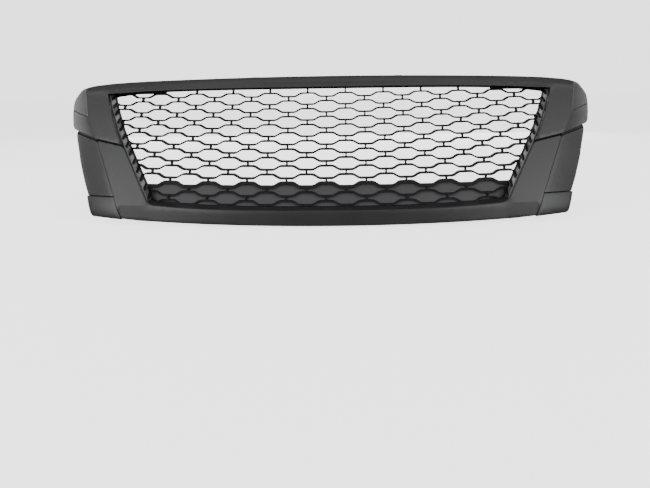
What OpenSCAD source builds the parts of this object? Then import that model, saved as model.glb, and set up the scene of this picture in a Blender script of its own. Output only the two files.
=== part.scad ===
// Front grille: an arch-shaped upper frame over a U-shaped lower frame, with side and corner
// panels, a wavy mesh insert and a blanking plate, all screwed together from behind.
// Millimetres. +X is right as seen from the front, the front faces -Y, +Z is up.
// The design is drawn around the middle of the mesh. to_origin() then moves it so that the
// origin is midway between the two inner top fixing holes.

/* [Form] */
// Radius of the grille's bow across the car, at mid height
bow_r = 3200; // [2800:50:3600]
// Angle by which the grille leans back from vertical
lean = 27; // [24:1:30]
// Wall of the moulded frames and panels
wall = 3; // [2.5:0.5:3.5]
// How far the upper frame's face stands in front of the mesh
upper_face = 36; // [34:1:38]
// How far the lower frame's face stands in front of the mesh
lower_face = 30; // [28:1:31]

/* [Opening] */
// Height of the top edge of the opening at the middle
open_top_z = 119.3; // [117:0.1:121]
// How far that edge drops at its corners
open_top_drop = 8.7; // [7:0.1:10]
// Half width of the opening at its top corners
open_top_x = 492; // [488:1:495]
// Height of the bottom edge of the opening at the middle
open_bottom_z = -128.9; // [-131:0.1:-127]
// How far that edge rises at its corners
open_bottom_rise = 10; // [8:0.5:11]
// Half width of the opening at its bottom corners
open_bottom_x = 366; // [362:1:370]

/* [Outline] */
// Height of the top edge at the middle
top_z = 144.3; // [143:0.1:147]
// Radius of the top edge seen from the front
top_r = 9500; // [9000:100:10500]
// Height of the bottom edge at the middle
bottom_z = -160.8; // [-163:0.1:-159]
// How far the bottom edge rises at the outer corners
bottom_rise = 13.5; // [12:0.5:15]
// Half width over the wings of the upper frame
wing_x = 579; // [575:1:582]

/* [Mesh] */
// Width of one mesh cell
cell_w = 84; // [84:1:84]
// Height from one row of struts to the next
row_pitch = 17.11; // [17.11:0.01:17.11]
// Height of the waves in each ribbon, centre line to centre line
wave_h = 7.6; // [7:0.1:8.2]
// Thickness of the ribbons and struts
ribbon_t = 2.8; // [2.4:0.1:3.2]
// Depth of the ribbons, front to back
ribbon_depth = 12; // [10:0.5:12]
// Width of the border that the mesh is screwed on by
flange_w = 12; // [11:0.5:12.5]

/* [Fixings] */
// Radius of the holes for the M6 fixing screws
fixing_r = 3.3; // [3.2:0.1:3.5]
// Distance between the two inner top fixing holes
inner_spacing = 320; // [300:10:340]
// Distance between the two outer top fixing holes
outer_spacing = 760; // [740:10:780]
// Distance between the two bottom fixing holes
bottom_spacing = 500; // [480:10:520]
// Radius of the locating pin on each side
pin_r = 4; // [3.5:0.5:4.5]
// Free length of the locating pins
pin_len = 16; // [12:1:20]
// Radius of the self-tapping screws that hold the grille together
screw_r = 1.9; // [1.8:0.1:2]

/* [Hidden] */

$fn = 48;
// The bow is turned in steps of this many to the full circle
sweep_fn = 720;
// Half of the angle that the swept shapes cover, wider than the grille
sweep_half = 12;
// Reach of the cutting shapes, well past the grille
reach = 400;
// Clearance between neighbouring mouldings
gap = 0.6;

// Where the arm, the wing and the seams lie, as half widths and heights
step_in = [443, 1.5];
step_mid = [505.6, 14.2];
step_out = [564.6, 31];
wing_low = [574.3, 41.5];
shoulder = [wing_x, 88.8];
shoulder_mid = [568, 107.5];
wing_top = [548.4, 123.2];
top_end = [523, 128];
seam_mid = [446.5, -104.3];
seam_low = [427.5, -149];
panel_mid = [549.4, -15];
panel_low = [512.3, -105];
corner_low = [499, -146];
corner_r = 11;
arm_top_gap = 2.6;

// Fixing tabs
tab_w = 44;
tab_depth = 34;
tab_t = 3;
hole_back = 18;
tab_root = 6;
rib_h = 5;
rib_end = 8;
top_tab_x = [inner_spacing / 2, outer_spacing / 2];
bottom_tab_x = bottom_spacing / 2;

// Fasteners
boss_r = 3.8;
boss_hole_r = screw_r + 0.05;
boss_hole_depth = 14;
head_r = 4;
head_h = 2.4;
recess_l = 4.8;
recess_w = 1.2;
edge_inset = 7.6;
// How much closer than its width the sloping side edge is
side_slant = 0.907;
blank_screw_x = [45, 165, 290];
seat_r = 4.3;
seat_up = 3;
plate_t = 3;
blank_t = 2.5;
insert_r = 5;
thread_r = 3;
insert_len = 12;
insert_boss_r = 9;
// Extra radius where a screw passes through
loose = 0.2;
blank_grip = 8;
blank_seat = ribbon_depth + blank_t + seat_up;
plate_seat = plate_t + seat_up;
side_boss_len = 15;
liner_t = 2;

// ---- The swept surface -------------------------------------------------------------------

// Y of the mesh's front surface at a place seen from the front
function surf(x, z) = bow_r - sqrt(pow(bow_r - z * tan(lean), 2) - x * x);

// A point of the sweep's section: height z, standing d in front of the mesh
function section_point(p) = [bow_r - p[0] * tan(lean) + p[1], p[0]];

function reversed(list) = [for (i = [len(list) - 1:-1:0]) list[i]];

// A band between a front line and a back line, each a list of [height, offset] from low to high
module band(front, back) {
    translate([0, bow_r, 0])
        rotate([0, 0, -90 - sweep_half])
            rotate_extrude(angle = 2 * sweep_half, $fn = sweep_fn)
                polygon(concat([for (p = front) section_point(p)],
                               [for (p = reversed(back)) section_point(p)]));
}

// A band of constant offsets over the whole height
module even_band(front, back) {
    band([[-reach / 2, front], [reach / 2, front]], [[-reach / 2, back], [reach / 2, back]]);
}

// An outline seen from the front, reaching far forwards and backwards
module front_view(outline) {
    rotate([90, 0, 0]) linear_extrude(height = 2 * reach, center = true) polygon(outline);
}

// Puts children on the mesh's front surface, with their own -Y pointing out to the front
module on_surface(x, z) {
    translate([x, surf(x, z), z])
        rotate([0, 0, asin(x / bow_r)]) rotate([-lean, 0, 0]) children();
}

// A cylinder along the local Y axis between two places
module peg(r, from, to) {
    translate([0, from, 0]) rotate([-90, 0, 0]) cylinder(r = r, h = to - from);
}

// Everything in front of the plane through three points
module in_front_of(a, b, c) {
    u = (b - a) / norm(b - a);
    n = cross(u, c - a) / norm(cross(u, c - a));
    w = n[1] < 0 ? n : -n;
    v = cross(w, u);
    multmatrix([[u[0], v[0], w[0], a[0]], [u[1], v[1], w[1], a[1]],
                [u[2], v[2], w[2], a[2]], [0, 0, 0, 1]])
        translate([-reach, -reach, 0]) cube([2 * reach, 2 * reach, reach]);
}

// ---- Outlines, seen from the front -------------------------------------------------------

function flip(p) = [-p[0], p[1]];
function flipped(list) = [for (p = reversed(list)) flip(p)];
function bezier(a, b, c, t) = (1 - t) * (1 - t) * a + 2 * t * (1 - t) * b + t * t * c;

// Inset of a closed counterclockwise outline by t, or its growth for a negative t
function unit2(v) = v / norm(v);
function left_of(v) = [-v[1], v[0]];
function inset_corner(a, b, c, t) =
    let (n1 = left_of(unit2(b - a)), n2 = left_of(unit2(c - b)))
    b + t * (n1 + n2) / (1 + n1 * n2);
function inset(o, t) =
    [for (i = [0:len(o) - 1])
        inset_corner(o[(i + len(o) - 1) % len(o)], o[i], o[(i + 1) % len(o)], t)];

// The opening: a nearly straight top edge, sloping sides and a bottom edge that rises outwards
function open_top(x) = open_top_z - open_top_drop * pow(abs(x) / open_top_x, 4);
function open_bottom(x) = open_bottom_z + open_bottom_rise * pow(abs(x) / open_bottom_x, 3);
// Half width against height, from the bottom corner's end to the top corner
side_steps = [[-109, 374], [-1, 441], [31, 459.5], [65.5, 475], [85, 484],
              [open_top(open_top_x), open_top_x]];
function open_side(z) = lookup(z, side_steps);
corner_from = [352, open_bottom(352)];
corner_ctrl = [368, open_bottom(366)];
corner_to = [374, -109];
right_side = concat([for (t = [0:0.25:0.99]) bezier(corner_from, corner_ctrl, corner_to, t)],
                    [for (s = side_steps) [s[1], s[0]]]);
open_top_line = [for (x = [-400:100:400]) [x, open_top(x)]];
open_bottom_line = [for (x = [-280:70:280]) [x, open_bottom(x)]];
opening = concat(open_bottom_line, right_side, reversed(open_top_line), flipped(right_side));

function top_edge(x) = top_z - top_r + sqrt(top_r * top_r - x * x);
function bottom_edge(x) = bottom_z + bottom_rise * pow(x / corner_low[0], 2);
function top_tab_z(x) = top_edge(x) - tab_t;

// The design's own frame, moved to the row's origin at the inner top fixing holes
origin_y = surf(inner_spacing / 2, top_tab_z(inner_spacing / 2)) + hole_back;
origin_z = top_tab_z(inner_spacing / 2) + tab_t / 2;
module to_origin() {
    translate([0, -origin_y, -origin_z]) children();
}

upper_right = [step_in, step_mid, step_out, wing_low, shoulder, shoulder_mid, wing_top, top_end];
upper_inner = [for (s = side_steps) if (s[0] > step_in[1] + 10) [s[1], s[0]]];
upper_outline = concat(upper_right, [for (x = [420:-70:-420]) [x, top_edge(x)]],
                       flipped(upper_right), flipped(reversed(upper_inner)),
                       open_top_line, reversed(upper_inner));

arm_top = [[step_mid[0], step_mid[1] - arm_top_gap], [step_in[0] - 2, step_in[1] - arm_top_gap - 1]];
lower_right = [seam_low, seam_mid, arm_top[0]];
lower_inner = [for (p = right_side) if (p[1] < arm_top[1][1] - 5) p];
lower_outline = concat(flipped(lower_right), [for (x = [-350:70:350]) [x, bottom_edge(x)]],
                       lower_right, [arm_top[1]], reversed(lower_inner),
                       reversed(open_bottom_line), flipped(reversed(lower_inner)),
                       [flip(arm_top[1])]);

side_outline = [[seam_mid[0] + gap, seam_mid[1] + gap], [panel_low[0], panel_low[1] + gap],
                [535.5, -54], panel_mid, [step_out[0] - 2, step_out[1] - arm_top_gap],
                [step_mid[0] + gap, step_mid[1] - arm_top_gap]];

corner_outline = concat([[seam_low[0] + gap, bottom_edge(seam_low[0])]],
                        [for (t = [0:0.25:1]) bezier(corner_low - [corner_r, 0.4], corner_low,
                                                     corner_low + [corner_r / 3, corner_r], t)],
                        [[panel_low[0] - 0.5, panel_low[1] - gap],
                         [seam_mid[0] + gap, seam_mid[1] - gap]]);

// ---- Mouldings ---------------------------------------------------------------------------

// Faces of the frames, as [height, offset] from low to high
upper_profile = [[-20, upper_face], [108, upper_face], [137, upper_face + 3], [150, upper_face - 16]];
lower_profile = [[-175, 5], [-124, lower_face - 1], [30, lower_face]];
side_profile = [[-175, 8], [-124, lower_face - 1], [40, lower_face]];
corner_profile = [[-175, 0], [-149, lower_face - 16.5], [-127, lower_face - 5], [-100, lower_face - 1]];

function pulled_in(profile, t) = [for (p = profile) [p[0], p[1] - t]];
function level(profile, d) = [[profile[0][0], d], [profile[len(profile) - 1][0], d]];

// A hollow moulding, open at the back: a face and a rim that reaches back to the mesh's surface.
// The child is what is cut off its face; the cut is repeated one wall further in.
module tray(outline, profile) {
    difference() {
        difference() {
            intersection() {
                front_view(outline);
                band(profile, level(profile, 0));
            }
            children();
        }
        difference() {
            intersection() {
                front_view(inset(outline, wall));
                band(pulled_in(profile, wall), level(profile, -2 * wall));
            }
            translate([0, wall, 0]) children();
        }
    }
}

// The wing turns back from the arm along a crease
module wing_cut() {
    in_front_of([step_mid[0], surf(step_mid[0], step_mid[1]) - upper_face, step_mid[1]],
                [wing_top[0], surf(wing_top[0], wing_top[1]) - upper_face, wing_top[1]],
                [576, surf(576, 60) - 15, 60]);
}

// The side and corner panels turn back from the arm along the seam
module panel_cut() {
    in_front_of([arm_top[0][0], surf(arm_top[0][0], arm_top[0][1]) - lower_face + 1, arm_top[0][1]],
                [seam_mid[0], surf(seam_mid[0], seam_mid[1]) - lower_face + 1, seam_mid[1]],
                [panel_mid[0], surf(panel_mid[0], panel_mid[1]) - 18, panel_mid[1]]);
}

module both_sides() {
    children();
    mirror([1, 0, 0]) children();
}

// Screw places behind the frames, as [x, z, offset of the face in front of them]
function place(x, z, profile) = [x, z, lookup(z, profile)];
function side_place(z, profile) = place(open_side(z) + edge_inset / side_slant, z, profile);
function top_place(x) = place(x, open_top(x) + edge_inset, upper_profile);
function bottom_place(x) = place(x, open_bottom(x) - edge_inset, lower_profile);
upper_mesh_places = [top_place(100), top_place(290), top_place(430),
                     side_place(82, upper_profile), side_place(35, upper_profile)];
lower_mesh_places = [bottom_place(90), bottom_place(240), bottom_place(335),
                     side_place(-35, lower_profile), side_place(-85, lower_profile)];
upper_plate_places = [place(506, 74, upper_profile), place(487, 34, upper_profile)];
lower_plate_places = [place(473, -10, lower_profile), place(427, -90, lower_profile)];
// The panels fall away outwards, so their bosses are as long as the face is deep there
side_plate_places = [[524, -5, 24], [486, -85, 23]];
corner_plate_places = [[468, -127, 21]];

// Puts children on the mesh's front surface without turning them
module along_y(place) {
    translate([place[0], surf(place[0], place[1]), place[1]]) children();
}

// Trims children to the space between two offsets
module between(front, back) {
    intersection() {
        children();
        even_band(front, back);
    }
}

// A screw boss that joins the face and ends level with the rim
module boss(place) {
    between(place[2] - wall / 2, 0) along_y(place) peg(boss_r, -place[2], boss_r);
}
module boss_hole(place) {
    along_y(place) peg(boss_hole_r, -boss_hole_depth, boss_r);
}
// A pad behind a leaning plate, with a square seat for a screw head
module seat_pad(place, from, seat) {
    between(-from, -reach / 2) along_y(place) peg(seat_r, from - boss_r, seat);
}

// A flat tab behind an edge, with a fixing hole through it and a rib along each side;
// up is 1 where the ribs stand above the tab and -1 where they hang below it
module fixing_tab(x, z, up) {
    y = surf(x, z);
    translate([x - tab_w / 2, y - tab_root, z]) cube([tab_w, tab_root + tab_depth, tab_t]);
    for (side = [-1, 1])
        translate([x + side * (tab_w - wall) / 2 - wall / 2, y - tab_root, z + min(0, up * rib_h)])
            cube([wall, tab_root + tab_depth - rib_end, rib_h + tab_t]);
}
module fixing_hole(x, z) {
    translate([x, surf(x, z) + hole_back, z - 1]) cylinder(r = fixing_r, h = tab_t + 2);
}

module upper_frame() {
    color([0.26, 0.26, 0.27]) to_origin() difference() {
        union() {
            tray(upper_outline, upper_profile) both_sides() wing_cut();
            both_sides() {
                for (p = concat(upper_mesh_places, upper_plate_places)) boss(p);
                for (x = top_tab_x) fixing_tab(x, top_tab_z(x), -1);
            }
        }
        both_sides() {
            for (p = concat(upper_mesh_places, upper_plate_places)) boss_hole(p);
            for (x = top_tab_x) fixing_hole(x, top_tab_z(x));
        }
    }
}

module lower_frame() {
    color([0.3, 0.3, 0.31]) to_origin() difference() {
        union() {
            tray(lower_outline, lower_profile);
            both_sides() {
                for (p = concat(lower_mesh_places, lower_plate_places)) boss(p);
                fixing_tab(bottom_tab_x, bottom_edge(bottom_tab_x), 1);
            }
        }
        both_sides() {
            for (p = concat(lower_mesh_places, lower_plate_places)) boss_hole(p);
            fixing_hole(bottom_tab_x, bottom_edge(bottom_tab_x));
        }
    }
}

module panel(outline, profile, places) {
    difference() {
        union() {
            tray(outline, profile) panel_cut();
            for (p = places) boss(p);
        }
        for (p = places) boss_hole(p);
    }
}

module right_side_panel() {
    color([0.33, 0.33, 0.34]) to_origin() panel(side_outline, side_profile, side_plate_places);
}

module left_side_panel() {
    color([0.33, 0.33, 0.34]) mirror([1, 0, 0]) to_origin()
        panel(side_outline, side_profile, side_plate_places);
}

module right_corner_panel() {
    color([0.31, 0.31, 0.32]) to_origin() panel(corner_outline, corner_profile, corner_plate_places);
}

module left_corner_panel() {
    color([0.31, 0.31, 0.32]) mirror([1, 0, 0]) to_origin()
        panel(corner_outline, corner_profile, corner_plate_places);
}

// ---- Mesh --------------------------------------------------------------------------------

rows = 15;
function row_z(k) = ((rows - 2) / 2 - k) * row_pitch;
// Half height of a cell at a distance from the nearest strut: low at the struts, high between
wave_flat = 11;
wave_run = 20;
function wave(s) = (1 - cos(180 * min(1, max(0, (s - wave_flat) / wave_run)))) / 2;
function cell_half(s) = row_pitch / 2 - wave_h / 2 - ribbon_t / 2 + wave_h * wave(s);
cell_steps = [ribbon_t / 2, wave_flat + 2, wave_flat + wave_run - 2];
cell_xs = concat(cell_steps, [for (s = reversed(cell_steps)) cell_w - s]);
function nearest(s) = min(s, cell_w - s);

// One cell between two struts, seen from the front
function cell_outline(x0, z) =
    concat([for (s = cell_xs) [x0 + s, z - cell_half(nearest(s))]],
           [for (s = reversed(cell_xs)) [x0 + s, z + cell_half(nearest(s))]]);
function first_strut(k) = (k % 2 == 1) ? 0 : -cell_w / 2;
cell_reach = 6;
// A cell is left out where less than this much of it would be open
least_open = 14;
mesh_border = 3;

// The border hangs lower towards the opening's top corners
top_border = 2.6;
corner_border = 8.6;
corner_border_x = 410;
corner_drop = (corner_border - top_border) / (open_top_x - corner_border_x);
function border_at(x) = top_border + corner_drop * max(0, abs(x) - corner_border_x);
// The top row is closed where it would only be a thin slit
slits = [[367, 403], [437, 500]];
border_xs = [-500, -450, -410, -300, -150, 0, 150, 300, 410, 450, 500];

module cell_rows(first, last) {
    for (k = [first:last], c = [-cell_reach:cell_reach]) {
        x0 = first_strut(k) + c * cell_w;
        m = open_side(row_z(k)) - mesh_border;
        if (x0 < m - least_open && x0 + cell_w > least_open - m) polygon(cell_outline(x0, row_z(k)));
    }
}

module cells() {
    difference() {
        cell_rows(0, 0);
        both_sides() for (s = slits) translate([s[0], 0]) square([s[1] - s[0], reach]);
    }
    cell_rows(1, rows - 1);
}

mesh_places = concat(upper_mesh_places, lower_mesh_places);
blank_places = [for (x = blank_screw_x) [x, open_bottom(x) - edge_inset, 0]];

module mesh_insert() {
    color([0.1, 0.1, 0.105]) to_origin() difference() {
        union() {
            between(0, -ribbon_depth)
                rotate([90, 0, 0]) linear_extrude(height = 2 * reach, center = true) difference() {
                    polygon(inset(opening, -flange_w));
                    intersection() {
                        polygon(inset(opening, mesh_border));
                        polygon(concat([for (x = reversed(border_xs)) [x, open_top(x) - border_at(x)]],
                                       [[-reach * 2, -reach], [reach * 2, -reach]]));
                        cells();
                    }
                }
            both_sides() for (p = mesh_places)
                along_y(p) peg(seat_r, ribbon_depth / 2, ribbon_depth + seat_up);
        }
        both_sides() {
            for (p = mesh_places)
                along_y(p) peg(screw_r + loose, -boss_r, ribbon_depth + seat_up + 1);
            for (p = blank_places)
                along_y(p) peg(boss_hole_r, ribbon_depth - blank_grip, ribbon_depth + boss_r);
        }
    }
}

// ---- Liners, blank and backing plates ------------------------------------------------------

// The opening's side wall, with one rib from each ribbon's end sloping down to the front
liner_high = 108;
liner_front = 26;
rib_reach = 8;
rib_front = 3;
rib_t = 2.4;
rib_tilt = 13;
rib_drop = (liner_front - 3) * sin(rib_tilt);
liner_zs = concat([for (s = side_steps) if (s[0] < liner_high - rib_reach) s[0]], [liner_high]);
liner_outline = concat([for (z = reversed(liner_zs)) [open_side(z) - gap / 2 - liner_t, z]],
                       [for (z = liner_zs) [open_side(z) - gap / 2, z]]);

module liner() {
    intersection() {
        front_view(liner_outline);
        even_band(liner_front, 0.2);
    }
    for (k = [1:rows - 2]) {
        z = row_z(k) - row_pitch / 2;
        x = open_side(z) - liner_t;
        x_front = open_side(z - rib_drop) - liner_t + 0.6;
        if (z > liner_zs[0])
            translate([0, surf(x, z), z - rib_t / 2]) rotate([rib_tilt, 0, 0])
                linear_extrude(height = rib_t)
                    polygon([[x - rib_reach, -1.6], [x_front - rib_front, 4 - liner_front],
                             [x_front, 3 - liner_front], [x + 0.6, -1.6]]);
    }
}

module right_opening_liner() {
    color([0.14, 0.14, 0.145]) to_origin() liner();
}

module left_opening_liner() {
    color([0.14, 0.14, 0.145]) mirror([1, 0, 0]) to_origin() liner();
}

// Solid plate behind the lowest rows; its top edge follows the ribbon in front of it
blank_row = 11;
function ribbon_z(k) = row_z(k) - row_pitch / 2;
function ribbon_wave(x, k) =
    let (s = abs(x - first_strut(k)), r = s - cell_w * floor(s / cell_w))
    ribbon_z(k) + wave_h / 2 - wave_h * wave(nearest(r));
blank_side = open_side(ribbon_z(blank_row)) + 8;
blank_top = [for (s = [-4:4], u = [wave_flat, wave_flat + wave_run / 2, wave_flat + wave_run,
                                   cell_w - wave_flat - wave_run, cell_w - wave_flat - wave_run / 2,
                                   cell_w - wave_flat])
             let (x = s * cell_w - cell_w / 2 + u - cell_w / 2) if (abs(x) < blank_side - 6)
             [x, ribbon_wave(x, blank_row)]];
blank_outline = concat([for (x = [-330:55:330]) [x, open_bottom(x) - 11]],
                       [[open_side(-108) + 8, -112], [blank_side, ribbon_z(blank_row)]],
                       reversed(blank_top),
                       [[-blank_side, ribbon_z(blank_row)], [-open_side(-108) - 8, -112]]);

module lower_blank() {
    color([0.3, 0.3, 0.31]) to_origin() difference() {
        union() {
            between(-ribbon_depth, -ribbon_depth - blank_t) front_view(blank_outline);
            both_sides() for (p = blank_places) seat_pad(p, ribbon_depth, blank_seat);
        }
        both_sides() for (p = blank_places)
            along_y(p) peg(screw_r + loose, ribbon_depth - boss_r, blank_seat + 1);
    }
}

// Ties the upper frame, lower frame, side panel and corner panel together on one side
plate_outline = [[397, -124], [484, -137], [502, -104], [541, -15], [557, 42], [562, 84],
                 [501, 92], [478, 40], [461, 6], [392, -106]];
plate_places = concat(upper_plate_places, lower_plate_places, side_plate_places,
                      corner_plate_places);
pin_place = [532, 22];
insert_place = [536, 66];
rib_x = 534;
rib_low = 28;
rib_high = 60;
pad_places = [[500, -50], [515, 40]];
pad_r = 9;
pad_len = 9;

module backing_plate() {
    difference() {
        union() {
            between(0, -plate_t) front_view(plate_outline);
            for (p = plate_places) seat_pad(p, 0, plate_seat);
            along_y(insert_place) peg(insert_boss_r, 1, side_boss_len);
            along_y(pin_place) {
                peg(insert_boss_r, 1, side_boss_len);
                peg(pin_r, side_boss_len - 2, side_boss_len + pin_len);
            }
            // Stiffening rib between the two bosses, lower towards the pin
            translate([pin_place[0], 0, 0]) rotate([90, 0, 90]) linear_extrude(height = wall)
                polygon([[surf(rib_x, rib_low) + 1, rib_low], [surf(rib_x, rib_low) + 8, rib_low],
                         [surf(rib_x, rib_high) + 14, rib_high], [surf(rib_x, rib_high) + 1, rib_high]]);
        }
        for (p = plate_places) along_y(p) peg(screw_r + loose, -boss_r, plate_seat + 1);
        along_y(insert_place) peg(insert_r, side_boss_len - insert_len, side_boss_len + 1);
    }
}

module right_backing_plate() {
    color([0.17, 0.17, 0.175]) to_origin() backing_plate();
}

module left_backing_plate() {
    color([0.17, 0.17, 0.175]) mirror([1, 0, 0]) to_origin() backing_plate();
}

// ---- Fasteners and soft parts --------------------------------------------------------------

// A pan-head screw driven forwards, with a cross recess in its head
module screw(place, seat, tip) {
    along_y(place) difference() {
        union() {
            peg(screw_r, tip, seat + head_h / 2);
            peg(head_r, seat, seat + head_h);
        }
        for (turn = [0, 90])
            translate([0, seat + head_h, 0]) rotate([0, turn, 0])
                cube([recess_l, head_h, recess_w], center = true);
    }
}

module mesh_screws() {
    color([0.55, 0.55, 0.57]) to_origin() both_sides()
        for (p = mesh_places) screw(p, ribbon_depth + seat_up, 2 - boss_hole_depth);
}

module blank_screws() {
    color([0.55, 0.55, 0.57]) to_origin() both_sides()
        for (p = blank_places) screw(p, blank_seat, ribbon_depth - blank_grip + 1);
}

module right_plate_screws() {
    color([0.55, 0.55, 0.57]) to_origin()
        for (p = plate_places) screw(p, plate_seat, 2 - boss_hole_depth);
}

module left_plate_screws() {
    color([0.55, 0.55, 0.57]) mirror([1, 0, 0]) to_origin()
        for (p = plate_places) screw(p, plate_seat, 2 - boss_hole_depth);
}

// A sheet-metal nut that slides on a tab from behind and grips it above and below the hole
nut_w = 16;
nut_t = 1;
nut_front = 10;
module clip_nut(x, z) {
    back = tab_depth - hole_back;
    translate([x, surf(x, z) + hole_back, z]) difference() {
        union() {
            translate([-nut_w / 2, -nut_front, -nut_t])
                cube([nut_w, nut_front + back + nut_t, tab_t + 2 * nut_t]);
            translate([0, 0, -nut_t - 4]) cylinder(r = fixing_r + 2, h = 4.5);
        }
        translate([-nut_w, -nut_front - 1, 0]) cube([2 * nut_w, nut_front + back + 1, tab_t]);
        translate([0, 0, -nut_t - 5]) cylinder(r = fixing_r, h = 12);
    }
}

module top_clip_nuts() {
    color([0.6, 0.58, 0.5]) to_origin() both_sides() for (x = top_tab_x) clip_nut(x, top_tab_z(x));
}

module bottom_clip_nuts() {
    color([0.6, 0.58, 0.5]) to_origin() both_sides() clip_nut(bottom_tab_x, bottom_edge(bottom_tab_x));
}

// Threaded brass inserts in the backing plates
module side_inserts() {
    color([0.72, 0.6, 0.32]) to_origin() both_sides() along_y(insert_place) difference() {
        peg(insert_r, side_boss_len - insert_len, side_boss_len);
        peg(thread_r, side_boss_len - insert_len - 1, side_boss_len + 1);
    }
}

// Foam strips behind the top and bottom edges
seal_w = 6.5;
seal_t = 6;
module seal(line, half, low) {
    xs = [for (i = [-6:6]) i * half / 6];
    outline = concat([for (x = xs) [x, line(x) + low]],
                     [for (x = reversed(xs)) [x, line(x) + low + seal_w]]);
    intersection() {
        front_view(outline);
        even_band(0, -seal_t);
    }
}

module top_seal() {
    color([0.06, 0.06, 0.065]) to_origin()
        seal(function (x) top_edge(x), 430, -wall - seal_w - 0.2);
}

module bottom_seal() {
    color([0.06, 0.06, 0.065]) to_origin()
        seal(function (x) bottom_edge(x), 215, 0.5);
}

// Rubber pads that keep the grille from rattling on the car
module bump_pads() {
    color([0.07, 0.07, 0.07]) to_origin() both_sides() for (p = pad_places)
        on_surface(p[0], p[1]) {
            peg(pad_r, plate_t * cos(lean), pad_len);
            peg(pad_r - 2, pad_len - 0.1, pad_len + 2);
        }
}

upper_frame();
lower_frame();
left_side_panel();
right_side_panel();
left_corner_panel();
right_corner_panel();
mesh_insert();
left_opening_liner();
right_opening_liner();
lower_blank();
left_backing_plate();
right_backing_plate();
mesh_screws();
blank_screws();
left_plate_screws();
right_plate_screws();
top_clip_nuts();
bottom_clip_nuts();
side_inserts();
top_seal();
bottom_seal();
bump_pads();
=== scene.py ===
import math

import bmesh
import bpy
import numpy as np
from mathutils import Matrix, Vector
from mathutils.geometry import delaunay_2d_cdt


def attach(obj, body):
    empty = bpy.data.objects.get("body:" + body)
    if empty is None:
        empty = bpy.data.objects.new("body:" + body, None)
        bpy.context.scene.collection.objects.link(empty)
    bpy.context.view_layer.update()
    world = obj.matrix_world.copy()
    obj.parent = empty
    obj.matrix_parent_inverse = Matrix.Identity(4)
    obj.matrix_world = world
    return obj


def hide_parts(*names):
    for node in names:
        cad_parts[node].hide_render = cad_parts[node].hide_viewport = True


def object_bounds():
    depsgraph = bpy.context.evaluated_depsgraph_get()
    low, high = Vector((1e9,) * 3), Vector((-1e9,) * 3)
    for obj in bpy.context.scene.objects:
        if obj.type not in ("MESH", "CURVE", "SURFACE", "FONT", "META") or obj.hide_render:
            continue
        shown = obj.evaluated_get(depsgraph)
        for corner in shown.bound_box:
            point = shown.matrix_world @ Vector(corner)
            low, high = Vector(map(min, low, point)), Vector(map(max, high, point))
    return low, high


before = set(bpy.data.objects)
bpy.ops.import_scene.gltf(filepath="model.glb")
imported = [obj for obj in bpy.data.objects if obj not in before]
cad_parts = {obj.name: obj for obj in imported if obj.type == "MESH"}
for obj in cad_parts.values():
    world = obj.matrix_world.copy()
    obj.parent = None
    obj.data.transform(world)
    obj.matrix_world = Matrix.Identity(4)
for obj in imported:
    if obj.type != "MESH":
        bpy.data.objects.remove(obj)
cad_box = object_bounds()

# ---- The design's numbers, in millimetres as in the CAD source ------------------------------
# The mesh's front surface: bowed to a radius and leaning back
BOW_R = 3200
LEAN = math.tan(math.radians(27))

# The frames' top and bottom edges, and the opening's
TOP_Z, TOP_R = 144.3, 9500
BOTTOM_Z, BOTTOM_RISE, CORNER_X = -160.8, 13.5, 499
OPEN_TOP_Z, OPEN_TOP_DROP, OPEN_TOP_X = 119.3, 8.7, 492
OPEN_BOTTOM_Z, OPEN_BOTTOM_RISE, OPEN_BOTTOM_X = -128.9, 10, 366

# Fixing tabs: places, thickness, and the holes behind the mesh's surface
TOP_TAB_X, OUTER_TAB_X, BOTTOM_TAB_X = 160, 380, 250
TAB_T, HOLE_BACK = 3, 18

# The mesh: cells between wavy ribbons, each with a flat crest and a slanted run
CELL_W, ROW_PITCH, ROWS = 84, 17.11, 15
WAVE_H, WAVE_FLAT, WAVE_RUN = 7.6, 11, 20
RIBBON_T, STRUT_T, RIBBON_DEPTH = 3.7, 3.3, 12
FLANGE_W = 12

WALL = 3
GAP = 0.6

# Corners of the front view's outlines on the right, as (x, z)
STEP_IN, STEP_MID, STEP_OUT = (443, 1.5), (505.6, 14.2), (565.6, 31)
WING_LOW, WING_TOP = (576.5, 41.5), (549, 124.6)
FACET_IN, FACET_OUT = (531, 57.9), (582, 73.5)
SEAM_MID, SEAM_LOW = (446.5, -104.3), (427.5, -149)
PANEL_MID, PANEL_LOW = (549.4, -15), (512.3, -105)
OPEN_SIDE = [(374, -109), (441, -1), (459.5, 31), (475, 65.5), (484, 85)]


def surf(x, z):
    """Y of the mesh's front surface at a place seen from the front."""
    return BOW_R - np.sqrt((BOW_R - z * LEAN) ** 2 - np.square(x))


def top_edge(x):
    return TOP_Z - TOP_R + np.sqrt(TOP_R**2 - np.square(x))


def bottom_edge(x):
    return BOTTOM_Z + BOTTOM_RISE * np.square(x / CORNER_X)


def open_top(x):
    return OPEN_TOP_Z - OPEN_TOP_DROP * (np.abs(x) / OPEN_TOP_X) ** 4


def open_bottom(x):
    return OPEN_BOTTOM_Z + OPEN_BOTTOM_RISE * (np.abs(x) / OPEN_BOTTOM_X) ** 3


OPEN_SIDE.append((OPEN_TOP_X, float(open_top(OPEN_TOP_X))))
SIDE_X, SIDE_Z = zip(*OPEN_SIDE)


def open_side(z):
    return np.interp(z, SIDE_Z, SIDE_X)


ORIGIN_Z = float(top_edge(TOP_TAB_X)) - TAB_T / 2
ORIGIN_Y = float(surf(TOP_TAB_X, ORIGIN_Z - TAB_T / 2)) + HOLE_BACK


def place(x, y, z):
    """A place in the design, in metres in the row's frame."""
    return Vector((x / 1000, (y - ORIGIN_Y) / 1000, (z - ORIGIN_Z) / 1000))


def on_face(x, z, d):
    """The place standing d in front of the mesh's surface."""
    return place(x, float(surf(x, z)) - d, z)


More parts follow.
